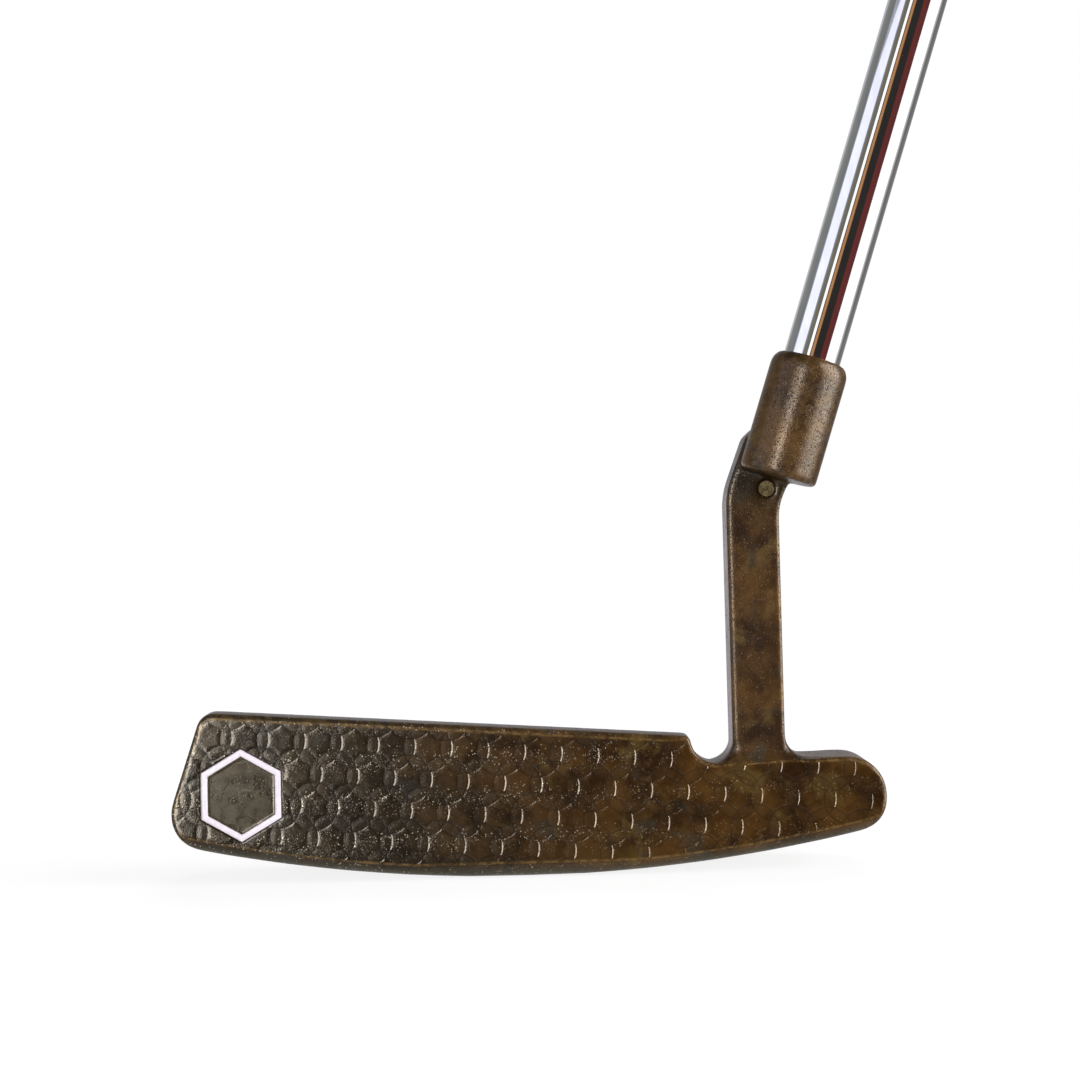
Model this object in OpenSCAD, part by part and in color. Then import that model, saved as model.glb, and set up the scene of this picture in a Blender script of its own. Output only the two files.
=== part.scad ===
// Blade putter with a plumber's neck, standing at address. Millimetres.
// +X runs from toe to heel, -Y is the way the ball leaves, +Z is up.
// The origin is where the sole touches the ground, under the middle of the blade.

/* [Blade] */
// Distance from the middle of the blade to the end of the toe
toe_reach = 61; // [60.5:0.1:61.7]
// Distance from the middle of the blade to the end of the heel
heel_reach = 60; // [59:0.1:61]
// Height of the top line where it meets the toe
toe_height = 28.7; // [28:0.1:29.4]
// Slope of the top line down towards the heel, in degrees
top_fall = 4.3; // [3.8:0.1:4.8]
// Lean of the toe end away from vertical, in degrees
toe_lean = 18.4; // [17:0.1:20]
// Height of the low shelf between the top line and the heel
shelf_height = 18.5; // [18.3:0.1:18.8]
// Height of the round notch between the top line and the neck
notch_height = 18; // [17.6:0.1:18.2]
// Radius of the curved sole, seen from the front
sole_radius = 264; // [250:1:280]
// Loft of the face, in degrees
loft = 3.5; // [2:0.5:4]

/* [Cavity and flange] */
// Depth of the head from the leading edge to the rear of the flange
head_depth = 21; // [20:0.5:23]
// Thickness of the blade along its top line
top_thickness = 6; // [5.5:0.5:6.5]
// Height of the flange behind the cavity
flange_height = 7.2; // [6:0.1:8]
// Place of the cavity's toe side
cavity_toe = -33; // [-36:1:-30]
// Place of the cavity's heel side
cavity_heel = 33; // [32.5:0.1:33.5]
// Length of the alignment line on the flange
sight_length = 10; // [8:0.5:11]
// Width of the alignment line
sight_width = 1.3; // [1:0.1:2]

/* [Toe badge] */
// Radius of the badge outline, measured to its corners
badge_radius = 7.7; // [7:0.1:8]
// Width of the painted outline
badge_line = 1.1; // [0.8:0.1:1.4]
// Place of the badge along the blade
badge_x = -47.3; // [-48:0.1:-40]
// Height of the badge's middle
badge_z = 14.9; // [14:0.1:16]

/* [Neck] */
// Lie, the angle between the shaft and the ground
lie = 72; // [71:0.5:73]
// Where the shaft's axis would meet the ground
axis_foot = 21.85; // [21.6:0.05:22.1]
// Place of the neck's toe side
neck_x = 34.7; // [34.4:0.1:35]
// Width of the neck
neck_width = 8.8; // [8.6:0.1:9]
// Depth of the neck from front to rear
neck_depth = 8.6; // [8:0.1:9]
// Distance of the neck's front behind the leading edge
neck_setback = 2.2; // [1.8:0.1:2.6]
// Diameter of the barrel that holds the shaft
barrel_diameter = 12.9; // [12.7:0.1:13.2]
// Distance along the shaft's axis from the ground to the barrel
barrel_start = 68.5; // [68.2:0.1:68.8]
// Length of the barrel
barrel_length = 21; // [20.6:0.1:21.2]
// Distance of the shaft's axis in front of the neck's front
axis_forward = 2.2; // [1.8:0.1:2.6]
// Diameter of the pin that shows under the barrel
pin_diameter = 2.6; // [2:0.1:3]

/* [Shaft and grip] */
// Length of the club, along the shaft's axis from the ground to its end
club_length = 889; // [838:1:914]
// Diameter of the shaft's tip
tip_diameter = 9.4; // [9.3:0.1:9.5]
// Diameter of the shaft's butt
butt_diameter = 14.7; // [14.5:0.1:14.9]
// Thickness of the shaft's wall
shaft_wall = 0.7; // [0.5:0.1:0.9]
// Length of the straight tip section
tip_length = 280; // [240:10:300]
// Number of steps between the tip and the butt
steps = 10; // [8:1:12]
// Distance from one step to the next
step_pitch = 34; // [28:1:34]
// Depth of the shaft's bore in the barrel
bore_depth = 19; // [17:0.5:19.5]
// Thickness of the bonding adhesive round the tip
bond = 0.15; // [0.1:0.05:0.2]
// Length of the grip
grip_length = 264; // [255:1:270]
// Thickness of the double-sided tape under the grip
tape = 0.2; // [0.2:0.05:0.3]
// Diameter of the air hole in the grip's cap
vent = 3; // [2:0.5:4]

/* [Hidden] */

fine = 96;
face_y = -head_depth / 2;
rear_y = head_depth / 2;
wall_rear = face_y + toe_height * tan(loft) + top_thickness - 0.2;
lean = 90 - lie;
neck_front = face_y + neck_setback;
neck_rear = neck_front + neck_depth;
axis_y = neck_front - axis_forward;
bore_radius = tip_diameter / 2 + bond;
tip_start = barrel_start + barrel_length - bore_depth + 0.5;
cap_thickness = 4;
grip_start = club_length - grip_length;
grip_bore = butt_diameter / 2 + tape;

// Rounded outlines: each corner is [x, y, radius]
function unit(v) = v / norm(v);
function flat(p) = [p[0], p[1]];
function heading(v) = atan2(v[1], v[0]);
function turn(from, to) = (to - from + 540) % 360 - 180;
function arc(c, r, from, sweep, n = 8) =
    [for (i = [0:n]) c + r * [cos(from + sweep * i / n), sin(from + sweep * i / n)]];
function corner(a, p, b) =
    let (u = unit(flat(a) - flat(p)), v = unit(flat(b) - flat(p)),
         half = acos(u * v) / 2,
         c = flat(p) + unit(u + v) * p[2] / sin(half),
         reach = p[2] / tan(half),
         from = heading(flat(p) + u * reach - c),
         to = heading(flat(p) + v * reach - c))
    p[2] == 0 ? [flat(p)] : arc(c, p[2], from, turn(from, to));
function rounded(p) =
    let (n = len(p))
    [for (i = [0:n - 1]) each corner(p[(i + n - 1) % n], p[i], p[(i + 1) % n])];

// Places on the blade's outline, seen from the front
function sole_z(x) = sole_radius - sqrt(sole_radius * sole_radius - x * x);
function toe_x(z) = -toe_reach + (z - sole_z(toe_reach)) * tan(toe_lean);
function top_z(x) = toe_height - (x + 53) * tan(top_fall);
notch_x = 27.6;
low_tier = 10.6;

module from_front(y_low, y_high)
    translate([0, y_high, 0]) rotate([90, 0, 0]) linear_extrude(y_high - y_low) children();

module from_side(x_low, x_high)
    translate([x_low, 0, 0]) rotate([90, 0, 90]) linear_extrude(x_high - x_low) children();

// Places its flat child on the lofted face, standing out of it by up and into it by down
module on_face(up, down)
    translate([0, face_y, 0]) rotate([90 - loft, 0, 0])
        translate([0, 0, -down]) linear_extrude(up + down) children();

// Places its child on the shaft's axis, at a distance along it from the ground
module on_axis(s)
    translate([axis_foot, axis_y, 0]) rotate([0, lean, 0]) translate([0, 0, s]) children();

module blade_outline()
    polygon(rounded(concat(
        [[-toe_reach, sole_z(toe_reach), 6.3]],
        [for (x = [-50:10:50]) [x, sole_z(x), 0]],
        [[heel_reach, sole_z(heel_reach), 5.8], [heel_reach, shelf_height, 6.3],
         [neck_x + 8, shelf_height, 0], [neck_x + 2, notch_height, 0],
         [notch_x, notch_height, 4.2], [notch_x, top_z(notch_x), 1],
         [toe_x(toe_height), toe_height, 2.6]])));

module blade_plan()
    polygon(rounded([
        [-70, face_y - 1, 0], [70, face_y - 1, 0], [70, 0, 0], [heel_reach, 1, 3],
        [heel_reach - 2.5, rear_y - 1, 7], [cavity_heel + 4, rear_y, 3],
        [0, rear_y - 1.2, 60], [cavity_toe - 4, rear_y, 3],
        [-toe_reach + 4, rear_y - 1, 7], [-toe_reach, 1, 3], [-70, 0, 0]]));

// The wall that carries the top line, and the low tier behind it
module low_profile()
    polygon(rounded([
        [face_y, 0, 2.8], [face_y + 34 * tan(loft), 34, 0], [wall_rear, 34, 0],
        [wall_rear, low_tier + 1.5, 1.5], [rear_y - 0.7, low_tier, 1.2], [rear_y, 0, 3]]));

// The high tier of the toe weight
module toe_tier()
    polygon(rounded([
        [wall_rear - 2, 5, 0], [wall_rear - 2, 21, 0], [wall_rear + 4.2, 19.8, 1.5],
        [wall_rear + 5.2, low_tier + 2, 0], [wall_rear + 7, 5, 0]]));

// The high tier of the heel weight, which the neck stands on
module heel_tier()
    polygon([
        [face_y + 3, 5], [face_y + 3, 30], [neck_rear + 0.8, 30],
        [neck_rear + 2.8, low_tier + 2], [neck_rear + 4.5, 5]]);

module cavity()
    translate([0, 0, flange_height]) linear_extrude(40)
        polygon(rounded([
            [cavity_toe, wall_rear, 4], [cavity_heel, wall_rear, 2.5],
            [cavity_heel - 2, rear_y + 5, 0], [cavity_toe + 3, rear_y + 5, 0]]));

module blade()
    difference() {
        intersection() {
            from_front(face_y - 1, rear_y + 1) blade_outline();
            linear_extrude(40) blade_plan();
            union() {
                from_side(-70, 70) low_profile();
                from_side(-70, cavity_toe + 8) toe_tier();
                from_side(cavity_heel - 4, 70) heel_tier();
            }
        }
        cavity();
    }

module neck_outline()
    polygon(rounded([
        [neck_x - 4.4, 12, 0], [neck_x - 4.4, notch_height - 0.2, 0],
        [neck_x, notch_height - 0.2, 3.6], [neck_x, 62.8, 14],
        [neck_x + 3.5, 72.2, 0.6], [neck_x + 5.6, 74.1, 1.2],
        [neck_x + 13.8, 71.3, 1.5], [neck_x + neck_width, 60.5, 10],
        [neck_x + neck_width, shelf_height - 0.2, 4], [neck_x + neck_width + 5, shelf_height - 0.2, 0],
        [neck_x + neck_width + 5, 12, 0]]));

module neck_profile()
    polygon(rounded([
        [neck_front - 0.8, 12, 0], [neck_front - 0.8, shelf_height - 0.2, 0],
        [neck_front, shelf_height + 1, 1], [neck_front, 80, 0], [neck_rear, 80, 0], [neck_rear, 12, 0]]));

module barrel()
    on_axis(barrel_start) rotate_extrude($fn = fine)
        polygon(concat(
            [[0, 0]], arc([barrel_diameter / 2 - 0.5, 0.5], 0.5, -90, 90, 4),
            arc([barrel_diameter / 2 - 2.8, barrel_length - 2.8], 2.8, 0, 90),
            [[0, barrel_length]]));

// Regular six-sided outline standing on a corner, in the plane of the face
module badge_shape(r)
    translate([badge_x, badge_z]) rotate(30) circle(r, $fn = 6);

module badge_ring()
    difference() {
        badge_shape(badge_radius);
        badge_shape(badge_radius - badge_line * 2 / sqrt(3));
    }

module sight_slot(top)
    translate([-sight_width / 2, wall_rear + 1.6, flange_height - 0.6])
        cube([sight_width, sight_length, top]);

module head()
    color("#5a4228")
    difference() {
        union() {
            blade();
            intersection() {
                from_front(neck_front - 2, neck_rear) neck_outline();
                from_side(neck_x - 8, neck_x + 20) neck_profile();
            }
            barrel();
        }
        on_axis(barrel_start + barrel_length - bore_depth)
            cylinder(r = bore_radius, h = bore_depth + 5, $fn = fine);
        on_face(2, 0.6) badge_ring();
        on_face(2, 0.3) badge_shape(badge_radius - badge_line);
        sight_slot(5);
        pin_hole(pin_diameter / 2);
    }

module pin_hole(r)
    translate([neck_x + 6.7, neck_front + 4.4, 63.4])
        rotate([90, 0, 0]) cylinder(r = r, h = 5, $fn = fine);

module badge_paint()
    color("#e6e2ee") on_face(0, 0.6) badge_ring();

module sight_line_paint()
    color("#e6e2ee") sight_slot(0.55);

module neck_pin()
    color("#8a7440") pin_hole(pin_diameter / 2);

// The tube narrows by one equal step at a time from the butt down to the tip
function tube_radius(i) = (tip_diameter + (butt_diameter - tip_diameter) * i / steps) / 2;
function step_place(i) = tip_start + tip_length + i * step_pitch;
function tube_side(inset) =
    concat([[tube_radius(0) - inset, tip_start]],
           [for (i = [0:steps - 1]) each [[tube_radius(i) - inset, step_place(i)],
                                          [tube_radius(i + 1) - inset, step_place(i) + 2]]],
           [[tube_radius(steps) - inset, club_length - cap_thickness]]);

module shaft()
    color("#c9ccd1") on_axis(0) rotate_extrude($fn = fine)
        polygon(concat(tube_side(0), [for (i = [2 * steps + 1:-1:0]) tube_side(shaft_wall)[i]]));

module shaft_bond()
    color("#cfc7a8") on_axis(barrel_start + barrel_length - bore_depth)
        difference() {
            cylinder(r = bore_radius, h = bore_depth - 1, $fn = fine);
            translate([0, 0, 0.5]) cylinder(r = tip_diameter / 2, h = bore_depth, $fn = fine);
        }

module grip_tape()
    color("#d8cfa6") on_axis(grip_start + 3) difference() {
        cylinder(r = grip_bore, h = grip_length - cap_thickness - 3, $fn = fine);
        translate([0, 0, -1]) cylinder(r = butt_diameter / 2, h = grip_length, $fn = fine);
    }

// Pistol grip: half width, depth of the flat front and depth of the round back,
// each at a place from 0 at the mouth to 1 at the butt
stations = [[0, 9.4, 9.2, 9.4], [0.02, 9.9, 9.6, 9.9], [0.3, 10.9, 10.2, 11],
            [0.6, 12, 10.8, 12.8], [0.78, 12.7, 11.2, 15.4], [0.88, 13.2, 11.5, 16.8],
            [0.95, 13.6, 11.7, 16.6], [1, 13.7, 11.8, 15.9]];
function grip_size(t, k) = lookup(t, [for (s = stations) [s[0], s[k]]]);
function squircle(a, n) = sign(a) * pow(abs(a), 2 / n);
function grip_point(t, a) =
    [-squircle(cos(a), cos(a) > 0 ? 4 : 2) * grip_size(t, cos(a) > 0 ? 2 : 3),
     squircle(sin(a), cos(a) > 0 ? 4 : 2) * grip_size(t, 1)];
sides = 40;

// A solid through rings that are [place along the axis, station, scale]
module loft_rings(rings)
    polyhedron(
        [for (ring = rings) for (i = [0:sides - 1])
            let (p = grip_point(ring[1], 360 * i / sides) * ring[2]) [p[0], p[1], ring[0]]],
        concat([[for (i = [sides - 1:-1:0]) i]],
               [for (k = [0:len(rings) - 2]) for (i = [0:sides - 1])
                   let (j = (i + 1) % sides)
                   each [[k * sides + i, k * sides + j, (k + 1) * sides + j],
                         [k * sides + i, (k + 1) * sides + j, (k + 1) * sides + i]]],
               [[for (i = [0:sides - 1]) (len(rings) - 1) * sides + i]]));

module grip()
    color("#1c1c1e") on_axis(grip_start) difference() {
        loft_rings([for (t = [0, 0.02, 0.15, 0.3, 0.45, 0.6, 0.7, 0.78, 0.83, 0.88, 0.92, 0.95, 1])
            [t * (grip_length - cap_thickness), t, 1]]);
        translate([0, 0, -1]) cylinder(r = grip_bore, h = grip_length + 2, $fn = fine);
    }

module grip_cap()
    color("#2a2a2d") on_axis(club_length - cap_thickness) difference() {
        loft_rings([[0, 1, 1], [cap_thickness * 0.5, 1, 0.99], [cap_thickness * 0.85, 1, 0.94],
                    [cap_thickness, 1, 0.86]]);
        translate([0, 0, -1]) cylinder(d = vent, h = cap_thickness + 2, $fn = fine);
    }

head();
badge_paint();
sight_line_paint();
neck_pin();
shaft();
shaft_bond();
grip_tape();
grip();
grip_cap();
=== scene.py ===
import functools
import math

import bmesh
import bpy
import numpy as np
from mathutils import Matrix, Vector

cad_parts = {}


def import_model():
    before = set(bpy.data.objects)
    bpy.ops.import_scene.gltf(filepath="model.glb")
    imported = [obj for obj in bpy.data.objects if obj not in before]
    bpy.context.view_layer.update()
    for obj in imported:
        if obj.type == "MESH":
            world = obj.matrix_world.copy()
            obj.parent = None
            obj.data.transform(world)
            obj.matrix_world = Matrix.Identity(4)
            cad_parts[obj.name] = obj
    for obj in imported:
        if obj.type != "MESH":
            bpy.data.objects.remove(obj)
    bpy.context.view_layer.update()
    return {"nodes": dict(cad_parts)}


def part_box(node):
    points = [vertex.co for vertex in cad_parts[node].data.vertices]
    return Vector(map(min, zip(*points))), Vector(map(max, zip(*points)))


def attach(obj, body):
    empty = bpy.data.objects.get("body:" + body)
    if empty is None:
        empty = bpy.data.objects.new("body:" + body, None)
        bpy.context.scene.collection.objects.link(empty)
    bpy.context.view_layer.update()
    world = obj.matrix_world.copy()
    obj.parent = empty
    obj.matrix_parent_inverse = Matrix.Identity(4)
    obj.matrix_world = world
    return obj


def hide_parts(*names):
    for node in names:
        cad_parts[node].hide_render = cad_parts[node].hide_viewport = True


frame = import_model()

import openvdb
from mathutils import Matrix, Vector

MM = 0.001

# Places and sizes of the CAD part, in millimetres
head_low, head_high = [np.array(c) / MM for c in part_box("head")]
LOFT = math.radians(3.5)
FACE_Y = -10.5  # where the plane of the face meets the ground
FACE_OUT = np.array([0, -math.cos(LOFT), math.sin(LOFT)])
FACE_UP = np.array([0, math.sin(LOFT), math.cos(LOFT)])
FACE_TOP = 31  # above this lies only the neck
TOP_FALL = math.radians(4.3)  # the topline falls towards the heel
TOP_X, TOP_Z = -53, 28.7  # the topline's corner at the toe
SOLE_RADIUS, EDGE_ROUND = 264, 2.3
BADGE_X, BADGE_V, BADGE_R, BADGE_LINE = -47.3, 14.9, 7.7, 1.1
LEAN = math.radians(18)
AXIS_FOOT = np.array([21.85, -10.5, 0])  # where the shaft's axis meets the ground
AXIS = np.array([math.sin(LEAN), 0, math.cos(LEAN)])
ACROSS = np.array([math.cos(LEAN), 0, -math.sin(LEAN)])
BACK = np.array([0, 1, 0])
BARREL_START = 68.5  # along the axis
TIP_START, TIP_LENGTH = 71, 280
TIP, BUTT, TUBE_WALL = 9.4, 14.7, 0.7
TUBE_STEPS, STEP_PITCH = 10, 34
CLUB_LENGTH, CAP = 889, 4
GRIP_LENGTH = 264
INSET = 0.12  # keeps the grip's ribs and grain inside the CAD grip
CAP_INSET = 0.15


# ---------------------------------------------------------------- camera and light
def camera():
    data = bpy.data.cameras.new("camera")
    data.lens, data.sensor_width = 63.4, 36
    data.clip_start = 0.01
    o = bpy.data.objects.new("camera", data)
    bpy.context.scene.collection.objects.link(o)
    level, roll = math.radians(90), math.radians(-1.6)
    o.matrix_world = (
        Matrix.Translation((0.0035, -0.3253, 0.0559))
        @ Matrix.Rotation(level, 4, "X")
        @ Matrix.Rotation(roll, 4, "Z")
    )
    bpy.context.scene.camera = o


def softbox(name, azimuth, distance, height, size, strength, colour=(1, 1, 1), aim=(0.02, 0, 0.25)):
    """A rectangular light. Azimuth 0 is straight in front of the face, and it grows towards the heel."""
    data = bpy.data.lights.new(name, "AREA")
    data.shape = "RECTANGLE"
    data.size, data.size_y = size
    data.energy = strength
    data.color = colour
    o = bpy.data.objects.new(name, data)
    bpy.context.scene.collection.objects.link(o)
    a = math.radians(azimuth)
    place = Vector((distance * math.sin(a), -distance * math.cos(a), height))
    o.location = place
    o.rotation_euler = (Vector(aim) - place).to_track_quat("-Z", "Y").to_euler()
    o.visible_camera = False
    return o


# ---------------------------------------------------------------- node helpers
class Nodes:
    def __init__(self, tree):
        self.tree = tree

    def put(self, socket, value):
        if isinstance(value, bpy.types.NodeSocket):
            self.tree.links.new(value, socket)
        else:
            socket.default_value = value

    def add(self, kind, inputs=(), out=0, **settings):
        n = self.tree.nodes.new("ShaderNode" + kind)
        for k, v in settings.items():
            setattr(n, k, v)
        for k, v in dict(inputs).items():
            self.put(n.inputs[k], v)
        return n.outputs[out]

    def math(self, operation, *values, clamp=False):
        return self.add("Math", dict(enumerate(values)), operation=operation, use_clamp=clamp)

    def chain(self, operation, *values):
        """One number from several, such as the least of them."""
        return functools.reduce(lambda a, b: self.math(operation, a, b), values)

    def times(self, *values):
        return self.chain("MULTIPLY", *values)

    def plus(self, *values):
        return self.chain("ADD", *values)

    def vector(self, operation, *values, out=0):
        return self.add("VectorMath", dict(enumerate(values)), out=out, operation=operation)

    def scaled(self, v, s):
        return self.add("VectorMath", {0: v, "Scale": s}, operation="SCALE")

    def stretched(self, v, x, y, z):
        return self.vector("MULTIPLY", v, (x, y, z))

    def noise(self, v, scale, detail=2.0, rough=0.5, distort=0.0):
        return self.add(
            "TexNoise",
            {"Vector": v, "Scale": scale, "Detail": detail, "Roughness": rough, "Distortion": distort},
        )

    def cells(self, v, scale, out=0):
        """Output 0 is the distance to the nearest point, and output 1 a colour that is each cell's own."""
        return self.add("TexVoronoi", {"Vector": v, "Scale": scale}, out=out)

    def step(self, x, low, high, to_low=0.0, to_high=1.0):
        return self.add(
            "MapRange",
            {"Value": x, "From Min": low, "From Max": high, "To Min": to_low, "To Max": to_high},
            interpolation_type="SMOOTHSTEP",
        )

    def mix(self, fac, a, b):
        n = self.tree.nodes.new("ShaderNodeMix")
        n.data_type = "RGBA"
        self.put(n.inputs["Factor"], fac)
        for i, c in ((6, a), (7, b)):
            self.put(n.inputs[i], (*c, 1) if isinstance(c, tuple) and len(c) == 3 else c)
        return n.outputs[2]

    def ramp(self, fac, stops):
        n = self.tree.nodes.new("ShaderNodeValToRGB")
        self.put(n.inputs[0], fac)
        r = n.color_ramp
        while len(r.elements) < len(stops):
            r.elements.new(0.5)
        for e, (place, colour) in zip(r.elements, stops):
            e.position = place
            e.color = (*colour, 1)
        return n.outputs[0]

    def attribute(self, name):
        return self.add("Attribute", out=2, attribute_name=name)

    def bump(self, height, strength, distance):
        return self.add("Bump", {"Height": height, "Strength": strength, "Distance": distance})

    def place(self):
        """Place on the object, in millimetres."""
        return self.scaled(self.add("TexCoord", out=3), 1000.0)


def material(name):
    m = bpy.data.materials.new(name)
    m.use_nodes = True
    m.node_tree.nodes.clear()
    n = Nodes(m.node_tree)
    out = m.node_tree.nodes.new("ShaderNodeOutputMaterial")
    bsdf = m.node_tree.nodes.new("ShaderNodeBsdfPrincipled")
    m.node_tree.links.new(bsdf.outputs[0], out.inputs[0])

    def set_(**values):
        for k, v in values.items():
            n.put(bsdf.inputs[k.replace("_", " ")], v)

    return m, n, set_


# ---------------------------------------------------------------- mesh helpers
def mesh_object(name, points, quads, mat):
    """points are in millimetres."""
    me = bpy.data.meshes.new(name)
    n, k = quads.shape
    me.vertices.add(len(points))
    me.vertices.foreach_set("co", (np.asarray(points) * MM).ravel())
    me.loops.add(n * k)
    me.loops.foreach_set("vertex_index", quads.ravel().astype(np.int32))
    me.polygons.add(n)
    me.polygons.foreach_set("loop_start", np.arange(0, n * k, k, dtype=np.int32))
    me.update(calc_edges=True)
    me.validate()
    me.shade_smooth()
    o = bpy.data.objects.new(name, me)
    bpy.context.scene.collection.objects.link(o)
    me.materials.append(mat)
    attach(o, "root")
    return o


def ease(x, low, high):
    t = np.clip((x - low) / (high - low), 0, 1)
    return t * t * (3 - 2 * t)


def angles(sides):
    return np.arange(sides) * 2 * math.pi / sides


def on_axis(local):
    """From [towards the heel, to the back, along the shaft] to the part's frame."""
    local = np.asarray(local)
    return AXIS_FOOT + local[..., :1] * ACROSS + local[..., 1:2] * BACK + local[..., 2:3] * AXIS


def ring_faces(rings, sides):
    """Quads between neighbouring rings, and from the last ring back to the first."""
    k = np.arange(rings)[:, None] * sides
    after = (k + sides) % (rings * sides)
    i = np.arange(sides)[None, :]
    j = (i + 1) % sides
    return np.stack([k + i, k + j, after + j, after + i], -1).reshape(-1, 4)


def closed_lathe(profile, sides):
    """A ring of revolution round the shaft's axis from a closed outline of [radius, place along]."""
    profile = np.asarray(profile, float)
    t = angles(sides)
    r, s = profile[:, 0][:, None], profile[:, 1][:, None]
    local = np.stack([r * np.cos(t), r * np.sin(t), s + 0 * t], -1)
    return on_axis(local).reshape(-1, 3), ring_faces(len(profile), sides)


# ---------------------------------------------------------------- the face pattern
PITCH, ROW, CIRCLE = 6.1, 5.28, 4.0  # apart along a row, rows apart, radius of the cut
CENTRE = (-31.8, 17.8)  # of one circle, as [x, z]
DISH, GROOVE, WALL = 0.020, 0.030, 0.7  # depth of the dish, depth at its rim, width of the wall
PANEL_DEPTH, RING_DEPTH = 0.26, 0.3


def lattice(x, z):
    """Distances to the four milled circles that can reach a place on the face."""
    c, s = math.cos(TOP_FALL), math.sin(TOP_FALL)
    u = (x - CENTRE[0]) * c - (z - CENTRE[1]) * s
    v = (x - CENTRE[0]) * s + (z - CENTRE[1]) * c
    found = []
    for du, dv in ((0, 0), (PITCH / 2, ROW)):
        a = (u - du) / PITCH + 0.5
        a = (a - np.floor(a) - 0.5) * PITCH
        b = (v - dv) / (2 * ROW) + 0.5
        b = (b - np.floor(b) - 0.5) * 2 * ROW
        found.append(np.hypot(a, b))
        found.append(np.hypot(a - np.where(a > 0, PITCH, -PITCH), b))
    return found


def cut(r):
    """Height left by one circle of the cutter: a shallow dish, deepest at its rim, with a short wall."""
    inside = -DISH * np.clip((r - 1.0) / (CIRCLE - 1.0), 0, 1) ** 2
    inside -= (GROOVE - DISH) * np.clip((r - CIRCLE + 1.2) / 1.2, 0, 1) ** 2
    return np.where(r < CIRCLE, inside, -GROOVE * (1 - ease(r, CIRCLE, CIRCLE + WALL)))


def hexagon(x, v, r):
    """Signed distance to the badge's outline, a hexagon standing on a corner."""
    a, b = np.abs(x - BADGE_X), np.abs(v - BADGE_V)
    return np.maximum(a, a * 0.5 + b * math.sqrt(3) / 2) - r * math.sqrt(3) / 2


# ---------------------------------------------------------------- the head
VOXEL = 0.36
MARGIN, BAND = 3, 12  # free space round the head in millimetres, width of the field in voxels


def outward(co):
    """Height of places above the plane of the face."""
    return (co[..., 1] - FACE_Y) * FACE_OUT[1] + co[..., 2] * FACE_OUT[2]


def upward(co):
    """Place up the slope of the face."""
    return (co[..., 1] - FACE_Y) * FACE_UP[1] + co[..., 2] * FACE_UP[2]


def blurred(field, sigma):
    """Gaussian blur by sigma millimetres."""
    s = sigma / VOXEL
    n = max(1, int(math.ceil(2.6 * s)))
    k = np.exp(-0.5 * (np.arange(-n, n + 1) / s) ** 2)
    k = (k / k.sum()).astype(np.float32)
    for axis in range(3):
        pads = [(n, n) if a == axis else (0, 0) for a in range(3)]
        padded = np.moveaxis(np.pad(field, pads, "edge"), axis, 0)
        total = sum(w * padded[i : i + field.shape[axis]] for i, w in enumerate(k))
        field = np.ascontiguousarray(np.moveaxis(total, 0, axis))
    return field


def sampled(field, at):
    """Trilinear values of a field at places given in voxels."""
    i = np.clip(np.floor(at).astype(int), 0, np.array(field.shape) - 2)
    f = at - i
    total = 0
    for dx in (0, 1):
        for dy in (0, 1):
            for dz in (0, 1):
                w = (
                    (f[:, 0] if dx else 1 - f[:, 0])
                    * (f[:, 1] if dy else 1 - f[:, 1])
                    * (f[:, 2] if dz else 1 - f[:, 2])
                )
                total = total + w * field[i[:, 0] + dx, i[:, 1] + dy, i[:, 2] + dz]
    return total


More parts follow.
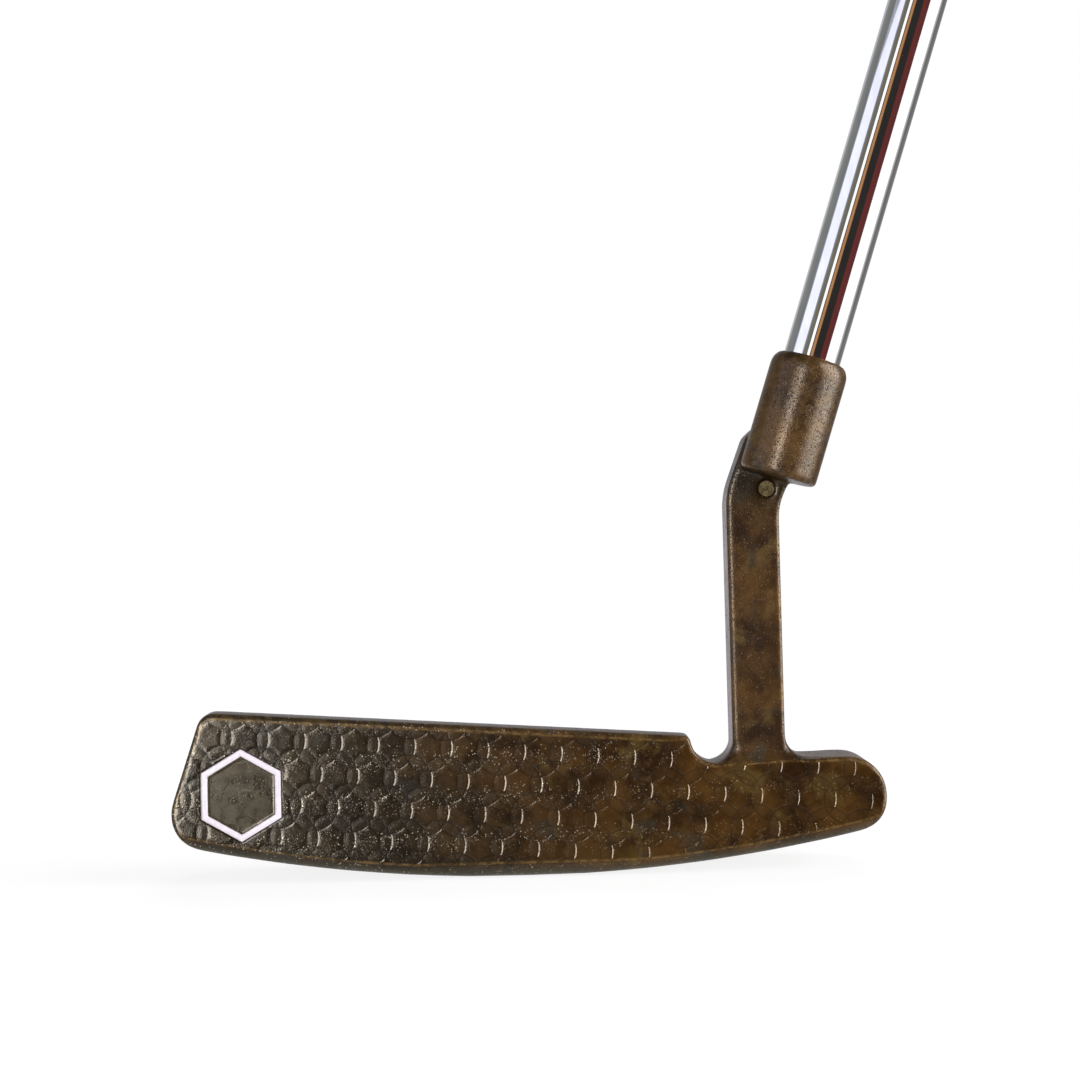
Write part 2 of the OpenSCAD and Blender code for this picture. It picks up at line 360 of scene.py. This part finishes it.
def head_mesh():
    """The casting, with every corner softened. Its field is the distance to the CAD head."""
    source = frame["nodes"]["head"].data
    co = np.zeros(len(source.vertices) * 3, np.float32)
    source.vertices.foreach_get("co", co)
    source.calc_loop_triangles()
    tri = np.zeros(len(source.loop_triangles) * 3, np.int32)
    source.loop_triangles.foreach_get("vertices", tri)
    low = head_low - MARGIN
    size = np.ceil((head_high - head_low + 2 * MARGIN) / VOXEL).astype(int)
    grid = openvdb.FloatGrid.createLevelSetFromPolygons(
        ((co.reshape(-1, 3) / MM - low) / VOXEL).astype(np.float32),
        triangles=tri.reshape(-1, 3).astype(np.uint32),
        transform=openvdb.createLinearTransform(voxelSize=1.0),
        halfWidth=float(BAND),
    )
    field = np.zeros(size, np.float32)
    grid.copyToArray(field)
    field *= VOXEL
    x = (low[0] + VOXEL * np.arange(size[0]))[:, None, None]
    y = (low[1] + VOXEL * np.arange(size[1]))[None, :, None]
    z = (low[2] + VOXEL * np.arange(size[2]))[None, None, :]

    # The badge's grooves are filled here and cut again in the fine mesh of the face
    out = (y - FACE_Y) * FACE_OUT[1] + z * FACE_OUT[2]
    up = (y - FACE_Y) * FACE_UP[1] + z * FACE_UP[2]
    fill = np.maximum(np.maximum(out, -out - 1.6), hexagon(x, up, BADGE_R + 0.6))
    field = np.minimum(field, fill.astype(np.float32))

    # The edge between the face and the sole is round all along the sole's curve
    over = EDGE_ROUND - (SOLE_RADIUS - np.hypot(x, z - SOLE_RADIUS))
    behind = EDGE_ROUND + out
    edge = np.hypot(np.maximum(over, 0), np.maximum(behind, 0)) - EDGE_ROUND
    field = np.maximum(field, np.where(z < 20, edge, -BAND * VOXEL).astype(np.float32))

    # Softer along the topline and round the neck's foot
    sharp = blurred(field, 0.34)
    soft = blurred(field, 0.8)
    top = TOP_Z - (x - TOP_X) * math.tan(TOP_FALL)
    near_top = ease(z, top - 2.2, top - 0.8) * ease(-y, 3.5, 6) * (1 - ease(x, 24, 27))
    foot = ease(x, 30, 33) * (1 - ease(x, 48, 52)) * ease(z, 16.5, 18.5) * (1 - ease(z, 19.5, 22))
    foot = foot * ease(-y, -4, -2) * (1 - ease(-y, 8.6, 9.4))
    w = np.clip(0.4 * near_top + foot, 0, 1).astype(np.float32)
    field = sharp * (1 - w) + soft * w

    shaped = openvdb.FloatGrid()
    shaped.background = float(BAND * VOXEL)
    shaped.copyFromArray(np.ascontiguousarray(field))
    points, _, quads = shaped.convertToPolygons(isovalue=0.0, adaptivity=0.0)
    points = np.asarray(points, float)
    quads = np.asarray(quads)[:, ::-1]
    a, b, c = points[quads[:, 0]], points[quads[:, 1]], points[quads[:, 3]]
    volume = np.einsum("ij,ij->i", a, np.cross(b, c)).sum()
    if volume < 0:
        quads = quads[:, ::-1]
    bend = blurred(field, 1.0) - field
    return points * VOXEL + low, quads, (bend, low)


def refined_face(points, quads):
    """Cuts each quad of the flat face in four, so that the milled circles are real shape."""
    front = (np.abs(outward(points)) < 0.12) & (points[:, 2] < FACE_TOP)
    chosen = front[quads].all(1)
    me = bpy.data.meshes.new("work")
    me.from_pydata(points.tolist(), [], quads.tolist())
    bm = bmesh.new()
    bm.from_mesh(me)
    bm.faces.ensure_lookup_table()
    edges = set()
    for i in np.flatnonzero(chosen):
        edges.update(bm.faces[int(i)].edges)
    bmesh.ops.subdivide_edges(bm, edges=list(edges), cuts=1, use_grid_fill=True)
    bm.to_mesh(me)
    bm.free()
    return me


def head(mat):
    points, quads, (bend, low) = head_mesh()
    me = refined_face(points, quads)
    co = np.zeros(len(me.vertices) * 3)
    me.vertices.foreach_get("co", co)
    co = co.reshape(-1, 3)
    curve = sampled(bend, (co - low) / VOXEL)
    depth, up = -outward(co), upward(co)
    depth[co[:, 2] > FACE_TOP] = 9
    on_face = 1 - ease(np.abs(depth), 0.03, 0.2)

    # Milled circles, then the recessed panel and the groove of its outline
    height = np.min([cut(r) for r in lattice(co[:, 0], co[:, 2])], axis=0)
    height *= 1 - 0.5 * ease(co[:, 0], 20, 60)
    rim, half, slope = hexagon(co[:, 0], up, BADGE_R), BADGE_LINE / 2, 0.16
    ring = 1 - ease(np.abs(rim + half), half - slope, half + slope)
    panel = 1 - ease(rim + BADGE_LINE, -0.2, 0.12)
    height = height * (1 - ease(-rim, -0.5, 0.1)) - PANEL_DEPTH * panel
    height = height * (1 - ring) - RING_DEPTH * ring
    co += (height * on_face)[:, None] * FACE_OUT
    me.vertices.foreach_set("co", (co * MM).ravel())
    me.update()
    me.shade_smooth()
    for name, values in (
        ("bend", curve),
        ("depth", depth),
        ("front", on_face),
        ("panel", np.clip(panel + ring, 0, 1) * on_face),
    ):
        a = me.attributes.new(name, "FLOAT", "POINT")
        a.data.foreach_set("value", np.asarray(values, np.float32))
    me.materials.append(mat)
    me.name = "head_casting"
    o = bpy.data.objects.new("head_casting", me)
    bpy.context.scene.collection.objects.link(o)
    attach(o, "root")
    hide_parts("head")
    return o


# ---------------------------------------------------------------- materials
def patina():
    m, n, set_ = material("bronze_patina")
    p = n.place()
    axes = n.tree.nodes.new("ShaderNodeSeparateXYZ")
    n.put(axes.inputs[0], p)
    x, z = axes.outputs[0], axes.outputs[2]
    front, panel = n.attribute("front"), n.attribute("panel")
    bend, depth = n.attribute("bend"), n.attribute("depth")

    # Milled circles as in lattice(), so that their rims stay crisp between the mesh's points
    c, s = math.cos(TOP_FALL), math.sin(TOP_FALL)
    dx, dz = n.math("SUBTRACT", x, CENTRE[0]), n.math("SUBTRACT", z, CENTRE[1])
    u = n.math("SUBTRACT", n.times(dx, c), n.times(dz, s))
    v = n.plus(n.times(dx, s), n.times(dz, c))
    rims, inside, lines = [], [], []
    for du, dv in ((0, 0), (PITCH / 2, ROW)):
        a = n.math("WRAP", n.math("SUBTRACT", u, du), PITCH / 2, -PITCH / 2)
        b = n.math("WRAP", n.math("SUBTRACT", v, dv), ROW, -ROW)
        other = n.math("SUBTRACT", a, n.times(n.math("SIGN", a), PITCH))
        for across in (a, other):
            r = n.math("SQRT", n.plus(n.times(across, across), n.times(b, b)))
            floor = n.step(r, CIRCLE - 2.2, CIRCLE, 0, -1)
            wall = n.step(r, CIRCLE, CIRCLE + 0.3, 0, 1)
            rims.append(n.plus(floor, wall))
            inside.append(n.math("LESS_THAN", r, CIRCLE))
            lines.append(n.step(n.math("ABSOLUTE", n.math("SUBTRACT", r, CIRCLE - 0.05)), 0.24, 0.06))
    rim, rim_painted_shade = n.chain("MINIMUM", *rims), n.chain("MAXIMUM", *lines)
    shared = n.math("GREATER_THAN", n.plus(*inside), 1.5)
    bare = n.math("SUBTRACT", 1.0, panel, clamp=True)
    milled = n.times(front, bare, n.step(depth, 0.06, 0.02))

    # Colour: nearly black olive at the toe, warm brown at the heel and up the neck, in soft clouds
    cloud = n.noise(p, 0.12, 3, 0.55, 0.4)
    fine_cloud = n.noise(p, 0.42, 3, 0.6, 0.3)
    both = n.plus(n.times(cloud, 0.7), n.times(fine_cloud, 0.3))
    warm = n.step(n.plus(x, n.times(z, 0.35)), -34, 34)
    dark = n.mix(warm, (0.010, 0.0070, 0.0036), (0.020, 0.0080, 0.0018))
    light = n.mix(warm, (0.026, 0.017, 0.0078), (0.070, 0.031, 0.0055))
    colour = n.mix(n.step(both, 0.36, 0.64), dark, light)
    gold = n.step(n.noise(n.vector("ADD", p, (31.0, 7.0, 3.0)), 0.17, 3, 0.55, 0.6), 0.56, 0.70)
    colour = n.mix(n.times(gold, warm, 0.7), colour, (0.090, 0.054, 0.013))
    grey = n.step(n.noise(n.vector("ADD", p, (5.0, 17.0, 43.0)), 0.2, 2, 0.5, 0.3), 0.58, 0.72)
    colour = n.mix(n.times(grey, 0.45), colour, (0.026, 0.028, 0.023))
    # Painted sheen lightens the overlaps of the circles, most towards the toe, and painted shade darkens a
    # narrow line along each circle's rim
    lens = n.times(milled, shared, n.step(x, 10, -45, 0.05, 0.14))
    colour = n.mix(lens, colour, (0.06, 0.052, 0.038))
    rim_painted_shade = n.times(rim_painted_shade, milled, n.step(x, 20, -45, 0.3, 0.7))
    colour = n.mix(rim_painted_shade, colour, (0.006, 0.005, 0.004))
    smooth = n.mix(n.step(fine_cloud, 0.35, 0.65), (0.019, 0.0145, 0.0075), (0.038, 0.029, 0.0150))
    # The badge's smooth panel, and the sole under the face
    colour = n.mix(panel, colour, smooth)
    below = n.times(n.step(depth, 0.12, 0.6), n.step(z, 10, 6))
    colour = n.mix(n.times(below, 0.6), colour, (0.030, 0.028, 0.016))
    # Edges worn brighter
    uneven = n.noise(p, 0.9, 2, 0.6)
    worn = n.times(n.step(bend, 0.18, 0.34), n.step(uneven, 0.40, 0.66))
    colour = n.mix(n.times(worn, 0.3), colour, (0.13, 0.08, 0.028))
    edge = n.times(n.step(depth, 0.02, 0.05), n.step(depth, 0.12, 0.08))
    line = n.times(edge, n.step(uneven, 0.38, 0.62, 0.25, 1.0))
    colour = n.mix(n.times(line, 0.55), colour, (0.19, 0.115, 0.04))
    # Painted shadow on the neck under the barrel, painted shade in the hollows, and painted glints as
    # bright dots on the face and elsewhere
    # painted shadow: darker on the neck for a few millimetres below the barrel
    from_foot = n.vector("SUBTRACT", p, tuple(AXIS_FOOT))
    along = n.vector("DOT_PRODUCT", from_foot, tuple(AXIS), out="Value")
    nearer = n.step(along, BARREL_START - 7, BARREL_START - 2)
    shade = n.times(nearer, n.step(along, BARREL_START + 0.2, BARREL_START - 0.2))
    colour = n.mix(n.times(shade, 0.75), colour, (0.010, 0.006, 0.002))
    # painted shade: darker where the casting curves inwards, in its hollows and corners
    hollow_painted_shade = n.step(bend, -0.06, -0.3)
    colour = n.mix(n.times(hollow_painted_shade, 0.75), colour, (0.010, 0.008, 0.006))
    # painted glints: bright dots of colour standing for the glints of the cast grain
    where = n.times(n.step(n.noise(p, 0.6, 2, 0.6), 0.40, 0.60), n.step(x, 40, -30, 0.3, 1))
    dot, own = n.step(n.cells(p, 2.4), 0.30, 0.18), n.step(n.cells(p, 2.4, out=1), 0.45, 0.75)
    painted_glint = n.times(dot, own, where, n.step(panel, 1, 0, 0.25, 1))
    colour = n.mix(painted_glint, colour, (0.42, 0.37, 0.27))

    # Gloss and relief: fine grain, the sand texture of the casting, pits, and the walls of the circles
    grain = n.noise(p, 5.2, 2, 0.65)
    sand = n.noise(p, 2.3, 2, 0.7)
    patchy = n.plus(n.times(grain, 0.5), n.times(fine_cloud, 0.5))
    rough = n.step(patchy, 0.3, 0.7, 0.15, 0.25)
    cast = n.math("SUBTRACT", 1.0, front, clamp=True)
    dot, own = n.step(n.cells(p, 2.5), 0.42, 0.24), n.step(n.cells(p, 2.5, out=1), 0.35, 0.6)
    pits = n.times(dot, own, n.step(cast, 0, 1, 0.4, 1))
    rough = n.plus(rough, n.times(cast, 0.12), n.times(pits, 0.15))
    sand = n.times(sand, n.step(cast, 0, 1, 0.010, 0.035))
    relief = n.plus(n.times(grain, 0.009), sand)
    relief = n.math("SUBTRACT", relief, n.times(pits, 0.02))
    steep = n.step(x, -60, 50, 0.020, 0.050)  # walls are steeper towards the heel
    relief = n.plus(relief, n.times(rim, milled, steep))
    set_(
        Base_Color=colour,
        Metallic=0.25,
        Roughness=rough,
        IOR=1.55,
        Specular_IOR_Level=n.math("SUBTRACT", 0.5, n.times(pits, 0.38)),
        Specular_Tint=(1.0, 0.93, 0.82, 1),
        Normal=n.bump(relief, 1.0, MM),
    )
    return m


def enamel():
    m, n, set_ = material("white_paint")
    p = n.place()
    tint = n.mix(n.step(n.noise(p, 1.3, 3, 0.6), 0.4, 0.7), (0.60, 0.56, 0.62), (0.68, 0.64, 0.70))
    chips = n.step(n.noise(p, 2.6, 3, 0.7), 0.70, 0.76)
    set_(
        Base_Color=n.mix(chips, tint, (0.42, 0.38, 0.36)),
        Roughness=n.step(n.noise(p, 3, 2), 0.3, 0.7, 0.28, 0.42),
        Normal=n.bump(n.noise(p, 2.2, 3, 0.6), 0.35, 0.05 * MM),
    )
    return m


def pin_brass():
    m, n, set_ = material("pin_brass")
    p = n.place()
    cloud = n.step(n.noise(p, 1.1, 3, 0.6), 0.35, 0.65)
    set_(
        Base_Color=n.mix(cloud, (0.075, 0.055, 0.020), (0.15, 0.11, 0.045)),
        Metallic=0.45,
        Roughness=n.step(cloud, 0, 1, 0.36, 0.5),
        Normal=n.bump(n.noise(p, 4, 2, 0.6), 0.5, 0.05 * MM),
    )
    return m


def chrome():
    m, n, set_ = material("chromed_steel")
    p = n.place()
    haze = n.noise(n.stretched(p, 1.0, 1.0, 0.12), 0.8, 3, 0.6)
    scratch = n.noise(n.stretched(p, 9.0, 9.0, 0.5), 0.9, 2, 0.6)
    dust = n.step(n.cells(p, 0.7), 0.07, 0.03)
    set_(
        Base_Color=n.mix(n.step(haze, 0.35, 0.7), (0.80, 0.81, 0.83), (0.90, 0.905, 0.92)),
        Metallic=1.0,
        Roughness=n.plus(n.step(haze, 0.3, 0.75, 0.03, 0.075), n.times(dust, 0.2)),
        Normal=n.bump(scratch, 0.06, 0.004 * MM),
    )
    return m


def rubber(name, dark, light, scale):
    m, n, set_ = material(name)
    p = n.place()
    blotch = n.step(n.noise(p, 0.05, 4, 0.6), 0.35, 0.65)
    grain = n.noise(p, scale, 3, 0.7)
    dust = n.step(n.noise(p, 0.9, 4, 0.75), 0.58, 0.75)
    colour = n.mix(blotch, dark, light)
    set_(
        Base_Color=n.mix(n.times(dust, 0.15), colour, (0.10, 0.095, 0.09)),
        Roughness=n.step(grain, 0.3, 0.7, 0.52, 0.74),
        Normal=n.bump(n.plus(grain, n.times(n.cells(p, scale * 0.7), 0.6)), 0.6, 0.12 * MM),
    )
    return m


def plain(name, dark, light, rough, scale=1.2):
    m, n, set_ = material(name)
    p = n.place()
    cloud = n.step(n.noise(p, scale, 3, 0.6), 0.35, 0.65)
    set_(
        Base_Color=n.mix(cloud, dark, light),
        Roughness=n.step(cloud, 0, 1, rough - 0.06, rough + 0.06),
        Normal=n.bump(n.noise(p, scale * 4, 2), 0.4, 0.05 * MM),
    )
    return m


def paint_node(name, mat, bevel=0.0):
    """A CAD piece that keeps its shape, with a finish and softened corners."""
    o = frame["nodes"][name]
    o.data.materials.clear()
    o.data.materials.append(mat)
    if bevel:
        b = o.modifiers.new("soft_corners", "BEVEL")
        b.width = bevel * MM
        b.segments = 3
        b.limit_method = "ANGLE"
        b.harden_normals = True
    return o


# ---------------------------------------------------------------- shaft, grip, badge outline
def shaft(mat):
    """The stepped tube: each step is a short cone with soft shoulders."""
    end, chamfer, cone = CLUB_LENGTH - CAP, 0.3, 2
    radius = lambda i: (TIP + (BUTT - TIP) * i / TUBE_STEPS) / 2
    side = [(radius(0), TIP_START + chamfer)]
    for i in range(TUBE_STEPS):
        s = TIP_START + TIP_LENGTH + i * STEP_PITCH
        low, high = radius(i), radius(i + 1)
        for t in np.linspace(0, 1, 9):
            side.append((low + (high - low) * ease(t, 0, 1), s + cone * t))
    side.append((radius(TUBE_STEPS), end - chamfer))
    first, last = (radius(0) - chamfer, TIP_START), (radius(TUBE_STEPS) - chamfer, end)
    outer = [first] + side + [last]
    inner = [(r - TUBE_WALL, s) for r, s in side][::-1]
    inner[0] = (radius(TUBE_STEPS) - TUBE_WALL, end)
    inner[-1] = (radius(0) - TUBE_WALL, TIP_START)
    # Long straight stretches get rings of their own, so that shading stays even along them
    outline = []
    full = outer + inner
    for (r0, s0), (r1, s1) in zip(full, full[1:]):
        n = max(1, int(abs(s1 - s0) / 12))
        outline += [(r0 + (r1 - r0) * k / n, s0 + (s1 - s0) * k / n) for k in range(n)]
    outline.append(full[-1])
    points, faces = closed_lathe(outline, 96)
    o = mesh_object("shaft_tube", points, faces, mat)
    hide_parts("shaft")
    return o


# Along the grip from 0 to 1, half its width, its flat front and its back from the axis
STATIONS = np.array(
    [
        [0, 9.4, 9.2, 9.4],
        [0.02, 9.9, 9.6, 9.9],
        [0.3, 10.9, 10.2, 11],
        [0.6, 12, 10.8, 12.8],
        [0.78, 12.7, 11.2, 15.4],
        [0.88, 13.2, 11.5, 16.8],
        [0.95, 13.6, 11.7, 16.6],
        [1, 13.7, 11.8, 15.9],
    ]
)


def grip_ring(t, a):
    """Outline of the grip at a place along it: flat towards the toe side, round at the back."""
    half, flat, back = [np.interp(t, STATIONS[:, 0], STATIONS[:, k]) - INSET for k in (1, 2, 3)]
    ca, sa = np.cos(a), np.sin(a)
    power = lambda v, n: np.sign(v) * np.abs(v) ** (2 / n)
    x = np.where(ca > 0, -power(ca, 4) * flat, -power(ca, 2) * back)
    y = np.where(ca > 0, power(sa, 4), power(sa, 2)) * half
    return x, y


def grip(mat):
    sides, rings, start, length = 144, 440, CLUB_LENGTH - GRIP_LENGTH, GRIP_LENGTH - CAP
    bore = BUTT / 2 + 0.2
    t = np.linspace(0, 1, rings)[:, None]
    a = angles(sides)[None, :]
    x, y = grip_ring(t, a)
    s = t * length
    # Fine ribs across the back, a row of short bars down the flat front, plain bands at both ends
    body = ease(t, 0.05, 0.07) * (1 - ease(t, 0.95, 0.965))
    rib = 0.5 - 0.5 * np.cos(2 * math.pi * s / 3.0)
    round_side = 1 - ease(np.cos(a), -0.25, 0.1)
    bar = ease(np.cos(2 * math.pi * s / 6.0), -0.1, 0.5) * ease(np.cos(a), 0.35, 0.6)
    sink = 0.32 * body * (1 - rib) ** 2 * round_side + 0.28 * body * bar
    collar = 0.35 * (1 - ease(np.abs(s - 6), 0.4, 0.9))
    r = np.hypot(x, y)
    k = 1 - (sink + collar) / r
    mouth = 1 - 0.6 * (1 - np.clip(s / 0.8, 0, 1)) ** 2 / r
    outer = np.stack([x * k * mouth, y * k * mouth, start + s + 0 * x], -1).reshape(-1, 3)
    inner_rings = 12
    si = np.linspace(1, 0, inner_rings)[:, None] * length
    inner = np.stack([-bore * np.cos(a) + 0 * si, bore * np.sin(a) + 0 * si, start + si + 0 * a], -1)
    points = on_axis(np.concatenate([outer, inner.reshape(-1, 3)]))
    faces = ring_faces(rings + inner_rings, sides)[:, ::-1]
    o = mesh_object("grip_sleeve", points, faces, mat)
    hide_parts("grip")
    return o


def grip_cap(mat):
    sides, start = 144, CLUB_LENGTH - CAP
    a = angles(sides)
    x, y = grip_ring(1.0, a)
    top, vent, groove = CAP - CAP_INSET, 1.5, 0.25
    rings = [(1.0, 0.0), (1.0, CAP * 0.2)]
    for t in np.linspace(0, math.pi / 2, 12):  # the rounded outer edge
        rings.append((1 - 0.10 * (1 - math.cos(t)), CAP * 0.25 + (top - CAP * 0.25) * math.sin(t)))
    rings += [(0.84, top), (0.80, top), (0.785, top - groove), (0.74, top - groove)]
    rings += [(0.725, top), (0.5, top), (0.3, top)]
    local = [np.stack([x * k, y * k, start + s + 0 * x], -1) for k, s in rings]
    for r, s in ((vent + 0.35, top), (vent, top - 0.3), (vent, CAP * 0.5), (vent, 0.0)):
        local.append(np.stack([-r * np.cos(a), r * np.sin(a), start + s + 0 * x], -1))
    points = on_axis(np.concatenate(local))
    faces = ring_faces(len(local), sides)[:, ::-1]
    o = mesh_object("grip_end_cap", points, faces, mat)
    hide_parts("grip_cap")
    return o


def badge_outline(mat):
    """Enamel in the groove of the badge's outline, with a slightly crowned top."""
    half = BADGE_LINE / 2
    section = []  # across the line, height above the face
    for t in np.linspace(-1, 1, 11):
        section.append((t * (half - 0.04), 0.02 - 0.14 * abs(t) ** 3))
    section += [(half - 0.05, -0.4), (-half + 0.05, -0.4)]
    per_side = 14
    mid = BADGE_R - half * 2 / math.sqrt(3)
    corners = [np.array([math.cos(a), math.sin(a)]) for a in angles(6) + math.radians(30)]
    points = []
    for e0, e1 in zip(corners, corners[1:] + corners[:1]):
        for t in np.arange(per_side) / per_side:
            for across, high in section:
                q = (mid + across * 2 / math.sqrt(3)) * (e0 * (1 - t) + e1 * t)
                foot = np.array([BADGE_X + q[0], FACE_Y, 0])
                points.append(foot + FACE_UP * (BADGE_V + q[1]) + FACE_OUT * high)
    faces = ring_faces(6 * per_side, len(section))
    o = mesh_object("badge_outline", points, faces, mat)
    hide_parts("badge_paint")
    return o


def floor():
    m, n, set_ = material("floor")
    set_(Base_Color=(0.16, 0.16, 0.16, 1), Roughness=0.9, Specular_IOR_Level=0.1)
    set_(Emission_Color=(1, 1, 1, 1), Emission_Strength=0.85)
    rings, sides, reach = 14, 96, 0.8
    a = angles(sides)
    points = [(0, 0, 0)]
    for k in range(1, rings + 1):
        r = reach * (k / rings) ** 2
        points += [(r * math.cos(t), r * math.sin(t), 0) for t in a]
    faces = [[0, 1 + i, 1 + (i + 1) % sides] for i in range(sides)]
    for k in range(rings - 1):
        for i in range(sides):
            p, q = 1 + k * sides + i, 1 + k * sides + (i + 1) % sides
            faces.append([p, p + sides, q + sides, q])
    me = bpy.data.meshes.new("floor")
    me.from_pydata(points, [], faces)
    me.materials.append(m)
    o = bpy.data.objects.new("floor", me)
    bpy.context.scene.collection.objects.link(o)
    o.location = (0, 0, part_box("head")[0][2] - 0.00002)
    o.visible_glossy = False  # so that the gloss of the face shows the dim room, as world() has it
    return o


def world():
    """What polished parts reflect: a dim room with pale panels at both sides. The camera sees white."""
    w = bpy.data.worlds.new("studio")
    bpy.context.scene.world = w
    w.use_nodes = True
    w.node_tree.nodes.clear()
    n = Nodes(w.node_tree)
    way = n.tree.nodes.new("ShaderNodeSeparateXYZ")
    n.put(way.inputs[0], n.add("TexCoord", out=0))
    x, y, z = way.outputs
    turn = n.math("DIVIDE", n.math("ARCTAN2", x, n.times(y, -1.0)), 2 * math.pi)
    turn = n.plus(turn, 0.5)
    at = lambda degrees: 0.5 + degrees / 360
    strip = n.ramp(
        turn,
        [
            (0.0, (0.52, 0.52, 0.55)),
            (at(-158), (0.52, 0.52, 0.55)),
            (at(-144), (0.24, 0.25, 0.24)),
            (at(-100), (0.20, 0.21, 0.20)),
            (at(-94), (0.50, 0.51, 0.62)),
            (at(-50), (0.46, 0.47, 0.58)),
            (at(-44), (0.20, 0.19, 0.15)),
            (at(-28), (0.16, 0.15, 0.12)),
            (at(-27.3), (1.3, 1.3, 1.3)),
            (at(-17.7), (1.3, 1.3, 1.3)),
            (at(-17), (0.10, 0.06, 0.035)),
            (at(0), (0.03, 0.027, 0.025)),
            (at(22), (0.03, 0.027, 0.025)),
            (at(26), (0.15, 0.034, 0.03)),
            (at(48), (0.12, 0.03, 0.03)),
            (at(49), (1.3, 1.3, 1.3)),
            (at(98), (1.3, 1.3, 1.3)),
            (at(99), (0.50, 0.50, 0.50)),
            (at(104), (0.50, 0.50, 0.50)),
            (at(112), (0.16, 0.155, 0.15)),
            (at(146), (0.22, 0.215, 0.21)),
            (at(160), (0.52, 0.52, 0.55)),
            (1.0, (0.52, 0.52, 0.55)),
        ],
    )
    round_back = n.step(n.math("ABSOLUTE", n.math("SUBTRACT", turn, 0.5)), 0.43, 0.455)
    behind = n.times(round_back, n.step(z, 0.08, 0.01))
    strip = n.mix(behind, strip, (0.80, 0.80, 0.92))
    left = n.times(n.step(turn, at(-138), at(-152)), n.step(z, 0.14, 0.03))
    strip = n.mix(left, strip, (1.0, 1.0, 1.1))
    lamp = n.times(n.step(turn, at(-14), at(-13)), n.step(turn, at(-3), at(-5)))
    strip = n.mix(n.times(lamp, n.step(z, 0.09, 0.13)), strip, (0.50, 0.24, 0.10))
    high = n.step(z, 0.45, 0.8)
    light = n.mix(high, strip, (0.16, 0.15, 0.14))
    low = n.step(z, -0.25, -0.6)
    light = n.mix(low, light, (0.75, 0.75, 0.76))
    back = n.tree.nodes.new("ShaderNodeBackground")
    n.put(back.inputs[0], light)
    back.inputs[1].default_value = 1.0
    seen = n.tree.nodes.new("ShaderNodeBackground")
    seen.inputs[0].default_value = (1, 1, 1, 1)
    seen.inputs[1].default_value = 1.0
    ray = n.add("LightPath", out=0)
    both = n.add("MixShader", {0: ray, 1: back.outputs[0], 2: seen.outputs[0]})
    out = n.tree.nodes.new("ShaderNodeOutputWorld")
    n.put(out.inputs[0], both)


# ---------------------------------------------------------------- the scene
camera()
world()
floor()
panel_heel = softbox("panel_heel", 74, 1.5, 0.45, (1.4, 1.6), 50)
softbox("panel_toe", -70, 1.6, 0.5, (1.25, 1.5), 4, (0.9, 0.9, 1.0))
strip_toe = softbox("strip_toe", -22.5, 1.7, 0.24, (0.32, 0.85), 18)
softbox("panel_back", 165, 1.2, 1.5, (1.2, 0.8), 12, aim=(0.0, 0.0, 0.0)).visible_glossy = False

patina_mat, enamel_mat = patina(), enamel()
head(patina_mat)
badge_outline(enamel_mat)
paint_node("sight_line_paint", enamel_mat, 0.12)
paint_node("neck_pin", pin_brass(), 0.18)
tube = shaft(chrome())
# The tube mirrors the softer panels that world() has in the places of these two lights
mirrors = bpy.data.collections.new("mirrors")
mirrors.objects.link(tube)
mirrors.collection_objects[0].light_linking.link_state = "EXCLUDE"
for light in (panel_heel, strip_toe):
    light.light_linking.receiver_collection = mirrors
paint_node("shaft_bond", plain("adhesive", (0.42, 0.38, 0.26), (0.55, 0.50, 0.36), 0.35))
paint_node("grip_tape", plain("tape", (0.46, 0.40, 0.26), (0.60, 0.54, 0.38), 0.7))
grip(rubber("grip_rubber", (0.009, 0.009, 0.010), (0.018, 0.018, 0.019), 2.4))
grip_cap(rubber("cap_rubber", (0.014, 0.014, 0.015), (0.024, 0.024, 0.025), 3.2))

bpy.context.scene.view_settings.view_transform = "Standard"
